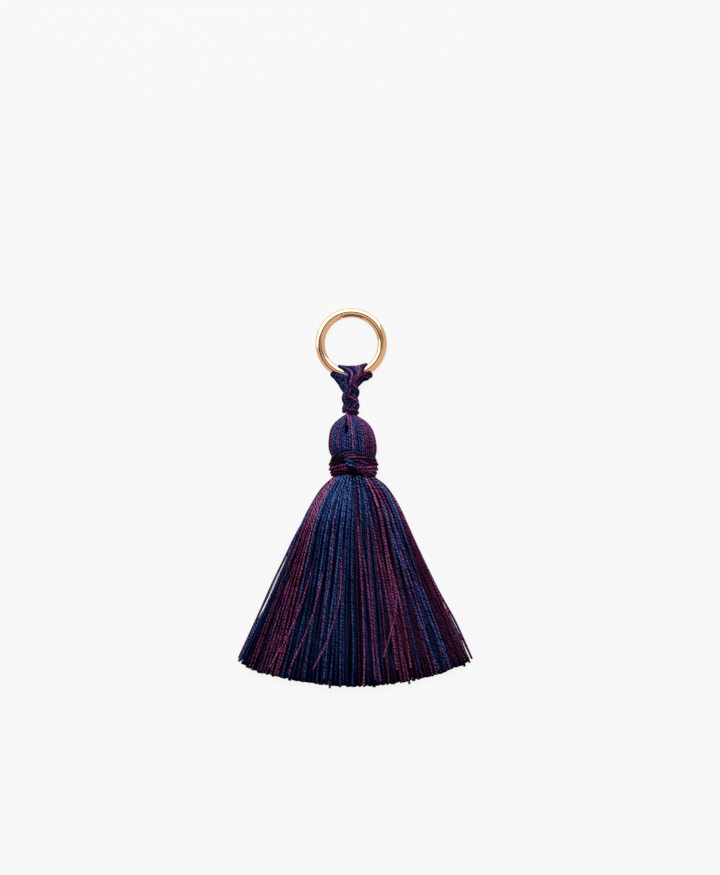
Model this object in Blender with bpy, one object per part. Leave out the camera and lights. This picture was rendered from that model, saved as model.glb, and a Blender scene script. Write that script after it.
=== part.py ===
"""A hand-tied yarn tassel lying on its back: metal ring, plaited hanger, binding, head and fanned skirt.

Metres, +Z up. The surface is z = 0, the ring is toward +Y and the skirt fans out toward -Y.
"""

import math

import bmesh
import bpy
from mathutils import Vector

MM = 0.001
CLEAR = 0.35 * MM

# Half the turn between two sections of a bundle that goes round the wire: its chord stays clear too.
CHORD_HALF_TURN = math.radians(13)

# Ring: round wire, lying down, its near side lifted by the yarn that passes under it.
RING_X = -1.2 * MM
RING_Y = 53.8 * MM
RING_RADIUS = 10.87 * MM
WIRE_RADIUS = 1.63 * MM
RING_LIFT = 1.9 * MM
RING_SEGMENTS = 48
WIRE_SEGMENTS = 12
RING_TILT = math.asin(RING_LIFT / (2 * RING_RADIUS))
RING_Z = WIRE_RADIUS + RING_LIFT / 2

# Hanger: a flat three-strand plait, hitched over the ring and knotted above the head.
PLAIT_X = -1.4 * MM
PLAIT_TOP_Y = 40.0 * MM
PLAIT_BOTTOM_Y = 31.2 * MM
PLAIT_TOP_Z = 3.9 * MM
PLAIT_BOTTOM_Z = 6.0 * MM
PLAIT_SWAY = 1.75 * MM
PLAIT_RISE = 0.75 * MM
PLAIT_PITCH = 13.0 * MM
PLAIT_STRAND_RADIUS = 1.25 * MM
PLAIT_STEPS = 16
HITCH_CENTRE = Vector((-1.35 * MM, 39.1 * MM, 4.2 * MM))
HITCH_CORE = Vector((2.5 * MM, 1.75 * MM, 1.3 * MM))
KNOT_CENTRE = Vector((-1.4 * MM, 30.9 * MM, 6.2 * MM))
KNOT_UPPER_WIDTH = 2.15 * MM
KNOT_LOWER_WIDTH = 1.95 * MM
KNOT_LOOP_DEPTH = 1.6 * MM
KNOT_STRAND_RADIUS = 1.05 * MM
KNOT_CORE = Vector((2.3 * MM, 1.9 * MM, 1.9 * MM))
KNOT_TILT = math.radians(24)

# Binding: two bulky wraps round the waist, drawn together by a knot at the front.
WRAP_CENTRE_X = -0.25 * MM
WRAP_CENTRE_Z = 7.15 * MM
WRAP_HALF_WIDTH = 7.45 * MM
WRAP_HALF_DEPTH = 5.6 * MM
WRAP_RADIUS = 1.42 * MM
WRAP_UPPER_Y = 12.0 * MM
WRAP_LOWER_Y = 9.25 * MM
WRAP_UPPER_ARCH = 2.1 * MM
WRAP_LOWER_ARCH = 0.9 * MM
WRAP_ARCH_SPREAD = 0.75
WRAP_ARCH_TURN = math.radians(102)
WRAP_STEPS = 40

# Head: the folded bundle, a dome that swells, then narrows to a waist under the binding.
HEAD_THREADS = 32
THREAD_RELIEF = 0.16 * MM

# Skirt: strands fan out from a point above the waist, and its middle rides a little higher than its sides.
FAN_Y = 28.0 * MM
STRANDS = 170
STRAND_SEED = 7
SKIRT_CROWN = 0.36 * MM
ROOT_Y = 6.2 * MM
ROOT_INSIDE = 0.9 * MM
ROOT_X = -0.2 * MM
ROOT_Z = 6.5 * MM
ROOT_HALF_WIDTH = 8.2 * MM
ROOT_HALF_DEPTH = 5.6 * MM
ROOT_STRAND_WIDTH = 0.56 * MM
ROOT_STRAND_HEIGHT = 0.42 * MM
GOLDEN_STEP = (math.sqrt(5) - 1) / 2

PLUM = (0.16, 0.03, 0.12, 1.0)
BLUE = (0.03, 0.06, 0.22, 1.0)
VIOLET = (0.08, 0.05, 0.2, 1.0)
ROSE_GOLD = (0.86, 0.52, 0.27, 1.0)


def clear_scene():
    for found in list(bpy.data.objects):
        bpy.data.objects.remove(found, do_unlink=True)


def finish(name, colour, roughness, metallic=0.0):
    made = bpy.data.materials.new(name)
    made.use_nodes = True
    shader = made.node_tree.nodes["Principled BSDF"]
    shader.inputs["Base Color"].default_value = colour
    shader.inputs["Roughness"].default_value = roughness
    shader.inputs["Metallic"].default_value = metallic
    return made


def place(obj, material, collection, parent=None):
    """Gives the object its material, collection and parent."""
    for held in list(obj.users_collection):
        held.objects.unlink(obj)
    collection.objects.link(obj)
    obj.data.materials.clear()
    obj.data.materials.append(material)
    obj.parent = parent
    return obj


def mesh_object(name, bm):
    bmesh.ops.recalc_face_normals(bm, faces=bm.faces)
    mesh = bpy.data.meshes.new(name)
    bm.to_mesh(mesh)
    bm.free()
    return bpy.data.objects.new(name, mesh)


def eased(before, start, end, after, share):
    """Catmull-Rom value between start and end."""
    slope_in = (end - before) / 2
    slope_out = (after - start) / 2
    square = share * share
    cube = square * share
    return (
        start * (2 * cube - 3 * square + 1)
        + slope_in * (cube - 2 * square + share)
        + end * (3 * square - 2 * cube)
        + slope_out * (cube - square)
    )


def smoothed(rows, steps):
    """Points on a smooth curve through rows of (point, radius)."""
    result = []
    for index in range(len(rows) - 1):
        before = rows[max(index - 1, 0)]
        after = rows[min(index + 2, len(rows) - 1)]
        around = [before, rows[index], rows[index + 1], after]
        points = [row[0] for row in around]
        radii = [row[1] for row in around]
        for step in range(steps):
            share = step / steps
            result.append((eased(*points, share), eased(*radii, share)))
    result.append(rows[-1])
    return result


def yarn_tube(name, rows, sides_level=1, cyclic=False):
    """A mesh tube along rows of (point, radius), with welded caps, made from a bevelled curve."""
    curve = bpy.data.curves.new(name, "CURVE")
    curve.dimensions = "3D"
    curve.bevel_depth = MM
    curve.bevel_resolution = sides_level
    curve.use_fill_caps = True
    spline = curve.splines.new("POLY")
    spline.points.add(len(rows) - 1)
    spline.use_cyclic_u = cyclic
    for target, (point, radius) in zip(spline.points, rows):
        target.co = (*point, 1.0)
        target.radius = radius / MM
    guide = bpy.data.objects.new(name + "_guide", curve)
    bpy.context.scene.collection.objects.link(guide)
    bpy.context.view_layer.update()
    evaluated = guide.evaluated_get(bpy.context.evaluated_depsgraph_get())
    mesh = bpy.data.meshes.new_from_object(evaluated)
    mesh.name = name
    bm = bmesh.new()
    bm.from_mesh(mesh)
    bmesh.ops.remove_doubles(bm, verts=bm.verts, dist=0.001 * MM)
    bmesh.ops.recalc_face_normals(bm, faces=bm.faces)
    bm.to_mesh(mesh)
    bm.free()
    made = bpy.data.objects.new(name, mesh)
    made.matrix_world = guide.matrix_world
    bpy.data.objects.remove(guide, do_unlink=True)
    return made


def fuse(base, pieces, guides, solver="EXACT"):
    """Joins pieces to the base with Boolean unions; the pieces stay as hidden guides."""
    for piece in pieces:
        guides.objects.link(piece)
        piece.hide_render = True
        piece.display_type = "WIRE"
        union = base.modifiers.new("fuse_" + piece.name, "BOOLEAN")
        union.operation = "UNION"
        union.solver = solver
        union.object = piece


def wire_centre(alpha):
    """Centre of the ring's wire at this angle from -Y, turning toward +X, and its outward direction."""
    near = math.cos(alpha)
    outward = Vector((math.sin(alpha), -near * math.cos(RING_TILT), near * math.sin(RING_TILT)))
    return Vector((RING_X, RING_Y, RING_Z)) + outward * RING_RADIUS, outward


def round_wire(alpha_deg, psi_deg, yarn_radius):
    """A row on the wire's surface: psi 0 faces outward, 90 up, 180 into the ring and 270 down."""
    centre, outward = wire_centre(math.radians(alpha_deg))
    psi = math.radians(psi_deg)
    distance = (WIRE_RADIUS + CLEAR + yarn_radius) / math.cos(CHORD_HALF_TURN)
    return centre + (outward * math.cos(psi) + Vector((0, 0, 1)) * math.sin(psi)) * distance, yarn_radius


def at(x, y, z, radius):
    return Vector((x * MM, y * MM, z * MM)), radius * MM


def plait_point(strand, share):
    """Centre of one of the three plaited strands, from the top of the plait to its bottom."""
    y = PLAIT_TOP_Y + (PLAIT_BOTTOM_Y - PLAIT_TOP_Y) * share
    z = PLAIT_TOP_Z + (PLAIT_BOTTOM_Z - PLAIT_TOP_Z) * share
    turn = 2 * math.pi * ((PLAIT_TOP_Y - y) / PLAIT_PITCH + strand / 3)
    return Vector((PLAIT_X + PLAIT_SWAY * math.sin(turn), y, z + PLAIT_RISE * math.sin(2 * turn)))


def make_ring(material, parts, root):
    bpy.ops.mesh.primitive_torus_add(
        major_segments=RING_SEGMENTS,
        minor_segments=WIRE_SEGMENTS,
        major_radius=RING_RADIUS,
        minor_radius=WIRE_RADIUS,
        location=(RING_X, RING_Y, RING_Z),
        rotation=(-RING_TILT, 0, 0),
    )
    ring = bpy.context.object
    ring.name = "ring"
    ring.data.shade_smooth()
    return place(ring, material, parts, root)


def hitch_bundles():
    """Rows of the yarn bundles that cross over the wire, spread inside the ring and return under it."""
    thin = 0.52 * MM
    slim = 0.65 * MM
    full = 0.9 * MM
    return {
        "crossing_from_left": [
            at(-3.9, 38.6, 3.2, 0.9),
            round_wire(-30, 330, slim),
            round_wire(-31, 295, thin),
            round_wire(-30, 260, thin),
            round_wire(-29, 220, thin),
            round_wire(-27, 182, thin),
            round_wire(-17, 160, slim),
            round_wire(-6, 135, 0.8 * MM),
            round_wire(2, 100, full),
            round_wire(6, 62, full),
            at(0.6, 39.6, 4.9, 0.9),
        ],
        "crossing_from_right": [
            at(0.9, 38.8, 3.2, 0.8),
            round_wire(26, 330, slim),
            round_wire(29, 295, thin),
            round_wire(31, 260, thin),
            round_wire(31, 220, thin),
            round_wire(29, 182, thin),
            round_wire(22, 160, slim),
            round_wire(15, 135, 0.8 * MM),
            round_wire(9, 100, full),
            round_wire(2, 62, full),
            at(-2.2, 39.8, 5.1, 0.9),
        ],
        "middle_bight": [
            at(-1.4, 38.4, 3.1, 0.9),
            round_wire(2, 325, slim),
            round_wire(3, 290, thin),
            round_wire(4, 255, thin),
            round_wire(5, 215, slim),
            round_wire(6, 175, 0.8 * MM),
            round_wire(6, 135, full),
            round_wire(5, 95, full),
            round_wire(3, 55, full),
            at(-0.8, 39.4, 4.6, 1.0),
        ],
        "left_shoulder": [
            at(-2.6, 37.2, 4.3, 1.2),
            at(-4.4, 39.6, 4.0, 1.25),
            round_wire(-22, 0, full),
            round_wire(-29, 25, slim),
            round_wire(-29, 62, slim),
            round_wire(-19, 66, 0.8 * MM),
            round_wire(-8, 60, full),
            at(-0.8, 39.9, 5.3, 0.9),
        ],
        "right_shoulder": [
            at(0.3, 38.2, 4.2, 1.1),
            at(1.4, 39.6, 3.2, 0.9),
            round_wire(20, 320, slim),
            round_wire(27, 330, slim),
            round_wire(28, 5, 0.75 * MM),
            round_wire(28, 45, full),
            round_wire(20, 85, full),
            round_wire(9, 88, full),
            round_wire(0, 62, full),
            at(-1.8, 39.8, 5.4, 0.9),
        ],
    }


def knot_loop(width, tilt, shift):
    """Rows of one turn of the knot above the head."""
    rows = []
    steps = 14
    for step in range(steps):
        turn = 2 * math.pi * step / steps
        across = width * math.cos(turn)
        along = across * math.tan(tilt) + shift
        offset = Vector((across, along, KNOT_LOOP_DEPTH * math.sin(turn)))
        rows.append((KNOT_CENTRE + offset, KNOT_STRAND_RADIUS))
    return rows


def make_core(name, centre, half_sizes):
    """The packed yarn in the middle of a knot."""
    bm = bmesh.new()
    bmesh.ops.create_uvsphere(bm, u_segments=14, v_segments=8, radius=1.0)
    bmesh.ops.scale(bm, vec=half_sizes, verts=bm.verts)
    bmesh.ops.translate(bm, vec=centre, verts=bm.verts)
    return mesh_object(name, bm)


def make_hanger(material, parts, guides, root):
    strands = []
    for strand in range(3):
        rows = [
            (plait_point(strand, step / PLAIT_STEPS), PLAIT_STRAND_RADIUS)
            for step in range(PLAIT_STEPS + 1)
        ]
        strands.append(yarn_tube(f"plait_strand_{strand + 1}", rows, sides_level=2))
    hanger = strands[0]
    hanger.name = "hanger"
    bundles = [yarn_tube(name, smoothed(rows, 2)) for name, rows in hitch_bundles().items()]
    knot = [
        make_core("hitch_core", HITCH_CENTRE, HITCH_CORE),
        make_core("knot_core", KNOT_CENTRE, KNOT_CORE),
        yarn_tube("knot_turn_upper", knot_loop(KNOT_UPPER_WIDTH, KNOT_TILT, 0.45 * MM), 2, cyclic=True),
        yarn_tube("knot_turn_lower", knot_loop(KNOT_LOWER_WIDTH, -KNOT_TILT, -0.45 * MM), 2, cyclic=True),
    ]
    place(hanger, material, parts, root)
    # Many bundles meet at shallow angles here, which the exact solver leaves open.
    fuse(hanger, strands[1:] + bundles + knot, guides, solver="MANIFOLD")
    return hanger


def front_arch(turn, height):
    """How far a wrap rises at this turn round the waist: it arches up at the front."""
    from_front = math.remainder(turn - WRAP_ARCH_TURN, 2 * math.pi)
    return height * math.exp(-((from_front / WRAP_ARCH_SPREAD) ** 2))


def wrap_rows(centre_y, arch):
    """Rows of one closed wrap round the waist."""
    rows = []
    for step in range(WRAP_STEPS):
        turn = 2 * math.pi * step / WRAP_STEPS
        x = WRAP_CENTRE_X + WRAP_HALF_WIDTH * math.cos(turn)
        z = WRAP_CENTRE_Z + WRAP_HALF_DEPTH * math.sin(turn)
        rows.append((Vector((x, centre_y + front_arch(turn, arch), z)), WRAP_RADIUS))
    return rows


def make_binding(material, parts, guides, root):
    upper = yarn_tube("binding", wrap_rows(WRAP_UPPER_Y, WRAP_UPPER_ARCH), 2, cyclic=True)
    lower = yarn_tube("wrap_lower", wrap_rows(WRAP_LOWER_Y, WRAP_LOWER_ARCH), 2, cyclic=True)
    knot = yarn_tube(
        "binding_knot",
        smoothed(
            [
                at(-4.6, 13.4, 12.3, 0.7),
                at(-3.3, 13.0, 13.5, 0.95),
                at(-1.9, 12.0, 14.4, 1.1),
                at(-0.5, 10.7, 14.0, 1.0),
                at(0.6, 9.9, 12.6, 0.7),
            ],
            2,
        ),
        2,
    )
    place(upper, material, parts, root)
    fuse(upper, [lower, knot], guides)
    return upper


# From the crown to the skirt's root; a row with a lift follows that share of the upper wrap's arch.
HEAD_SECTIONS = [
    # y, centre x, half width, centre z, half depth, lift
    (28.3, -1.9, 2.6, 6.3, 2.0, 0.0),
    (27.5, -1.7, 4.6, 6.5, 3.9, 0.0),
    (26.0, -1.3, 6.3, 6.8, 5.5, 0.0),
    (23.8, -1.0, 7.5, 7.0, 6.7, 0.0),
    (21.2, -0.8, 8.3, 7.05, 7.45, 0.0),
    (18.4, -0.6, 8.6, 7.1, 7.6, 0.1),
    (15.9, -0.45, 8.35, 7.05, 7.25, 0.5),
    (13.9, -0.3, 8.05, 7.15, 6.4, 1.0),
    (13.5, -0.25, 6.9, 7.15, 5.0, 1.0),
    (13.0, -0.25, 5.5, 7.15, 3.65, 1.0),
    (8.25, -0.25, 5.5, 7.15, 3.65, 0.0),
    (7.7, -0.25, 6.9, 7.0, 4.9, 0.0),
    (7.2, -0.2, 7.9, 6.7, 5.5, 0.0),
]


def make_head():
    """The dome and waist, lofted, with its threads raised as ridges and a flat spot where it lies."""
    columns = 2 * HEAD_THREADS
    root = (ROOT_Y / MM, ROOT_X / MM, ROOT_HALF_WIDTH / MM, ROOT_Z / MM, ROOT_HALF_DEPTH / MM, 0.0)
    bm = bmesh.new()
    rings = []
    for y, centre_x, half_width, centre_z, half_depth, lift in HEAD_SECTIONS + [root]:
        ring = []
        for column in range(columns):
            turn = 2 * math.pi * column / columns
            relief = THREAD_RELIEF / MM * (1 if column % 2 else -1)
            x = centre_x + (half_width + relief) * math.cos(turn)
            z = centre_z + (half_depth + relief) * math.sin(turn)
            ring_y = y * MM + front_arch(turn, WRAP_UPPER_ARCH) * lift
            ring.append(bm.verts.new((x * MM, ring_y, max(z, 0.0) * MM)))
        rings.append(ring)
    for upper, lower in zip(rings, rings[1:]):
        for column in range(columns):
            after = (column + 1) % columns
            bm.faces.new((upper[column], upper[after], lower[after], lower[column]))
    bm.faces.new(rings[0])
    bm.faces.new(reversed(rings[-1]))
    return mesh_object("tassel", bm)


def semicircle_place(share):
    """Where a vertical line cuts off this share of a unit circle's area, from -1 to 1."""
    low, high = -1.0, 1.0
    for _ in range(40):
        middle = (low + high) / 2
        area = 0.5 + (middle * math.sqrt(1 - middle * middle) + math.asin(middle)) / math.pi
        if area < share:
            low = middle
        else:
            high = middle
    return (low + high) / 2


# Reach from the fan's point, edge angles, fan thickness, how square its ends are, strand width and height.
SKIRT_STATIONS = [
    # reach, left, right, thickness, squareness, width, height
    (28.0, 25.0, 25.0, 10.8, 0.05, 0.76, 0.48),
    (42.0, 26.7, 25.9, 8.6, 0.30, 0.86, 0.55),
    (64.0, 26.1, 26.0, 6.2, 0.60, 0.98, 0.62),
    (93.9, 25.6, 25.8, 4.4, 0.85, 1.10, 0.68),
]


def strand_sections(index):
    """Sections of one skirt strand, each (centre, across, up), from inside the root to the tip."""
    share = (index + 0.5) / STRANDS
    level = (index * GOLDEN_STEP + 0.3) % 1.0
    round_place = semicircle_place(share)
    even_place = 2 * share - 1
    ragged = math.sin(STRAND_SEED * (index + 1) ** 2) * 0.6

    def height_at(place, squareness):
        """Share of the full thickness at this place across the fan."""
        round_height = math.sqrt(max(1 - place * place, 0.0))
        return round_height * (1 - squareness) + squareness

    sections = []
    rise = height_at(round_place, 0.0)
    x = ROOT_X + (ROOT_HALF_WIDTH - 0.5 * MM) * round_place
    z = ROOT_Z + (ROOT_HALF_DEPTH - 0.5 * MM) * rise * (2 * level - 1)
    slimmed = 0.6 + 0.4 * rise
    across = Vector((ROOT_STRAND_WIDTH / 2 * slimmed, 0, 0))
    up = Vector((0, 0, ROOT_STRAND_HEIGHT / 2 * slimmed))
    for y in (ROOT_Y + ROOT_INSIDE, ROOT_Y - 0.2 * MM):
        sections.append((Vector((x, y, z)), across, up))
    for reach, left, right, thickness, squareness, width, height in SKIRT_STATIONS:
        place = round_place + (even_place - round_place) * squareness
        angle = math.radians(-left + (left + right) * (place + 1) / 2)
        depth = (thickness - height) * height_at(place, squareness)
        middle = thickness / 2
        low = max(middle - depth / 2 - (middle - height / 2) * squareness ** 0.5, height / 2)
        crown = SKIRT_CROWN / MM * squareness * (1 - place * place)
        z = low + depth * level + crown
        length = reach + (ragged if reach > 90 else 0.0)
        centre = Vector((length * math.sin(angle) * MM, FAN_Y - length * math.cos(angle) * MM, z * MM))
        slimmed = squareness ** 0.5 + (1 - squareness ** 0.5) * (0.6 + 0.4 * rise)
        across = Vector((math.cos(angle), math.sin(angle), 0)) * width / 2 * slimmed * MM
        sections.append((centre, across, Vector((0, 0, height / 2 * MM))))
    return sections


def make_strands():
    bm = bmesh.new()
    for index in range(STRANDS):
        rings = []
        for centre, across, up in strand_sections(index):
            below = (centre - across - up, centre + across - up)
            above = (centre + across + up, centre - across + up)
            rings.append([bm.verts.new(corner) for corner in below + above])
        for upper, lower in zip(rings, rings[1:]):
            for side in range(4):
                after = (side + 1) % 4
                bm.faces.new((upper[side], upper[after], lower[after], lower[side]))
        bm.faces.new(rings[0])
        bm.faces.new(reversed(rings[-1]))
    return mesh_object("skirt_strands", bm)


def make_tassel(material, parts, guides, root):
    head = make_head()
    place(head, material, parts, root)
    fuse(head, [make_strands()], guides)
    return head


def main():
    clear_scene()
    parts = bpy.data.collections.new("yarn_tassel")
    guides = bpy.data.collections.new("guides")
    bpy.context.scene.collection.children.link(parts)
    bpy.context.scene.collection.children.link(guides)
    root = bpy.data.objects.new("tassel_root", None)
    parts.objects.link(root)
    make_ring(finish("rose_gold", ROSE_GOLD, 0.18, 1.0), parts, root)
    make_hanger(finish("hanger_yarn", VIOLET, 0.75), parts, guides, root)
    make_binding(finish("binding_yarn", PLUM, 0.75), parts, guides, root)
    make_tassel(finish("skirt_yarn", BLUE, 0.75), parts, guides, root)


main()
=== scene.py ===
"""Looks of the yarn tassel: twisted two-ply threads, a knotted hanger and a polished ring.

Lengths are in millimetres until a mesh is made. The floor is z = 0 and the ring is toward +Y.
"""

import math

import bpy
import numpy as np
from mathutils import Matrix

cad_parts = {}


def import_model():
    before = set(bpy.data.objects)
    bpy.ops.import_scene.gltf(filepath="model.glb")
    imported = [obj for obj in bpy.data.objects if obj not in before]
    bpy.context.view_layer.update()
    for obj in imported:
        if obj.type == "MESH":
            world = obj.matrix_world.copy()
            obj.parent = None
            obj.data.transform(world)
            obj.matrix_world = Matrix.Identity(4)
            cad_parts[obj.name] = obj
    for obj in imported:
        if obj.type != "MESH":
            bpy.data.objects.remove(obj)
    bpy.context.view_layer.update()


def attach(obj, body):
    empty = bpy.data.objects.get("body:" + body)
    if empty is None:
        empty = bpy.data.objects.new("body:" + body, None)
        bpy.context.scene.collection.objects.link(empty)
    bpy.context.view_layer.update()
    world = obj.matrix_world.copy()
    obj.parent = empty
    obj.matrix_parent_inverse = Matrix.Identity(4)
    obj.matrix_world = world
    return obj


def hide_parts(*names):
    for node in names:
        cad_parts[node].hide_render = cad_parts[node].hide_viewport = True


MM = 0.001
FULL_TURN = 2 * math.pi

# Camera: straight above, framed as a tall picture.
AIM_X = 1.86
AIM_Y = 20.97
VIEW_HEIGHT = 306.8
CAMERA_DISTANCE = 1500.0
SENSOR = 36.0

# Thread: two plies twisted together.
THREAD_RADIUS = 0.48
TWIST_PITCH = 2.2
# Columns round a thread that shows, and how far apart its rings are.
SHOWN_SIDES = 8
FINE_STEP = 0.3
COARSE_STEP = 0.4
LONG_STEP = 0.8
HIDDEN_STEP = 1.2
UPWARD = (0.0, 0.0, 1.0)
# Painted crevice shade: how fast a thread darkens toward the sides turned from its outward direction, and how
# dark it gets there.
CREVICE_SHADE_FALL = 1.35
CREVICE_PAINTED_SHADE = 0.04
# The threads' maps start this many mm apart, so that no two look the same.
THREAD_APART = 37.0
CUT_END_TONE = 0.7
# Threads that show and the fuller ones beneath them, painted near black as the shade between them.
OUTER_RADIUS = 0.41
INNER_RADIUS = 0.6
HEAD_RADIUS = 0.39

# Ring and the yarn that is hitched over its wire.
RING_X = -1.2
RING_Y = 53.8
RING_RADIUS = 10.87
WIRE_RADIUS = 1.63
RING_LIFT = 1.9
RING_TILT = math.asin(RING_LIFT / (2 * RING_RADIUS))
RING_Z = WIRE_RADIUS + RING_LIFT / 2
SEAM_TURN = math.radians(110)
WIRE_CLEARANCE = 0.06

# Plait and knot above the head.
PLAIT_X = -1.4
PLAIT_TOP = (40.0, 3.9)
PLAIT_BOTTOM = (30.6, 6.0)
PLAIT_SWAY = 1.85
PLAIT_RISE = 0.85
PLAIT_PITCH = 13.0
PLAIT_BUNDLE = 1.3
KNOT_CENTRE = (-1.4, 30.9, 6.2)
KNOT_DEPTH = 1.6
KNOT_BUNDLE = 1.05
KNOT_TILT = math.radians(24)

# Binding round the waist.
WRAP_X = -0.4
WRAP_Z = 7.15
WRAP_ARCH_SPREAD = 0.75
WRAP_ARCH_TURN = math.radians(102)
WRAP_STEP = 0.33
HEAD_ARCH = 2.1

# Skirt: threads fan out from a point above the waist.
FAN_Y = 28.0
SKIRT_PIECES = 6
SKIRT_CROWN = 0.36
ROOT_X = -0.2
ROOT_Z = 6.5
ROOT_HALF_DEPTH = 5.3

FLOOR_GAP = 0.05
# How bright the floor, the white tent in polished metal and the room's soft light are.
FLOOR_GLOW = 0.892
TENT_GLOW = 0.88
ROOM_GLOW = 0.06
WHITE_GLOW = 4.2
# How far away the cards stand that the ring mirrors.
BAND_REACH = 900.0


# Shader arithmetic


class Tint:
    """A number that varies over a surface. Arithmetic on it adds Math nodes."""

    def __init__(self, finish, socket):
        self.finish = finish
        self.socket = socket

    def combine(self, operation, first, second):
        return self.finish.value("ShaderNodeMath", {"operation": operation}, {0: first, 1: second})

    def __add__(self, other):
        return self.combine("ADD", self, other)

    __radd__ = __add__

    def __sub__(self, other):
        return self.combine("SUBTRACT", self, other)

    def __rsub__(self, other):
        return self.combine("SUBTRACT", other, self)

    def __mul__(self, other):
        return self.combine("MULTIPLY", self, other)

    __rmul__ = __mul__

    def held(self, low=0.0, high=1.0):
        """The number kept between two limits."""
        return self.finish.value("ShaderNodeClamp", {}, {"Value": self, "Min": low, "Max": high})


class Finish:
    """A material, or the world, and the nodes that make its look."""

    def __init__(self, owner, shader="Principled BSDF"):
        owner.use_nodes = True
        self.owner = owner
        self.nodes = owner.node_tree.nodes
        self.links = owner.node_tree.links
        self.shader = self.nodes[shader]

    def node(self, kind, settings, values):
        """Adds a node: its settings come first, then a value or a link for each socket."""
        made = self.nodes.new(kind)
        for name, setting in settings.items():
            setattr(made, name, setting)
        self.fill(made, values)
        return made

    def fill(self, node, values):
        for name, value in values.items():
            socket = node.inputs[name]
            source = getattr(value, "socket", value)
            if isinstance(source, bpy.types.NodeSocket):
                self.links.new(source, socket)
            else:
                socket.default_value = source

    def value(self, kind, settings, values, output=0):
        return Tint(self, self.node(kind, settings, values).outputs[output])

    def attribute(self, name):
        return self.value("ShaderNodeAttribute", {"attribute_name": name}, {}, "Fac")

    def cosine(self, turn):
        return self.value("ShaderNodeMath", {"operation": "COSINE"}, {0: turn})

    def noise(self, coordinates, scale, detail):
        settings = {"noise_dimensions": "3D"}
        values = {"Vector": coordinates, "Scale": scale, "Detail": detail}
        return self.value("ShaderNodeTexNoise", settings, values, "Fac")

    def noise_along(self, across, along, lot, detail):
        """Noise over a thread's own map; the lot keeps one dye's pattern apart from another's."""
        place = self.node("ShaderNodeCombineXYZ", {}, {0: across, 1: along, 2: lot})
        return self.noise(place.outputs[0], 1.0, detail)

    def blend(self, share, first, second):
        """A colour between two others."""
        made = self.node("ShaderNodeMix", {"data_type": "RGBA"}, {0: share, 6: first, 7: second})
        return made.outputs[2]

    def relief(self, height, distance, strength=1.0):
        values = {"Height": height, "Distance": distance, "Strength": strength}
        return self.node("ShaderNodeBump", {}, values).outputs["Normal"]


def new_finish(name):
    """The finish of a new material of this name."""
    return Finish(bpy.data.materials.new(name))


# Colours, as the light that the yarn gives back. Each dye runs from a painted-shade colour to a painted-light
# colour, the two light blues by a random fading; the highlight colours are painted highlights and the core
# colour is painted shade.
BLUE_SHADE = (0.0003, 0.0003, 0.008, 1.0)
DEEP_BLUE = (0.0, 0.155, 0.60, 1.0)
SOFT_BLUE = (0.12, 0.185, 0.64, 1.0)
PLUM_SHADE = (0.006, 0.0005, 0.003, 1.0)
PLUM_LIGHT = (0.57, 0.115, 0.38, 1.0)
BLUE_PAINTED_HIGHLIGHT = (0.15, 0.28, 0.62, 1.0)
PLUM_PAINTED_HIGHLIGHT = (0.60, 0.28, 0.48, 1.0)
CORE_SHADE = (0.001, 0.0005, 0.0015, 1.0)
ROSE_GOLD = (0.75, 0.41, 0.22, 1.0)
WARM_GOLD = (0.79, 0.46, 0.26, 1.0)
PALE_FLOOR = (0.06, 0.06, 0.06, 1.0)
FLAG_BLACK = (0.0, 0.0, 0.0, 1.0)
PLAIN_WHITE = (1.0, 1.0, 1.0, 1.0)
COOL_WHITE = (0.6, 0.8, 1.0, 1.0)
# How fast the yarn's unevenness changes: per turn round a thread, then per mm along it.
SLIP_PER_MM = 0.7
FIBRES_PER_TURN = 9
FIBRES_PER_MM = 1.3
PATCHES_PER_MM = 0.16
FADING_PER_TURN = 2
FADING_PER_MM = 0.9
# How sharply one ply's dye gives way to the other's, and how far the twist slips, in turns.
PLY_SHARPNESS = 4
SLIP_TURNS = 0.9
# How much fibres and patches change a thread's brightness, and how bright it is without them.
FIBRE_CONTRAST = 1.4
PATCH_CONTRAST = 0.8
LIGHT_OFFSET = 0.67
LIGHT_GAIN = 0.82
# Painted highlight on a thread's brightest parts: how fast it grows with the thread's brightness, where it
# starts and how strong it may get.
HIGHLIGHT_GAIN = 0.8
HIGHLIGHT_START = 0.45
HIGHLIGHT_LIMIT = 0.5
YARN_SPECULAR = 0.008
# Roughness of a thread: fibres make it glossier and its grooves are duller.
YARN_ROUGHNESS = 0.66
FIBRE_GLOSS = 0.2
GROOVE_ROUGHNESS = 0.15


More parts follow.
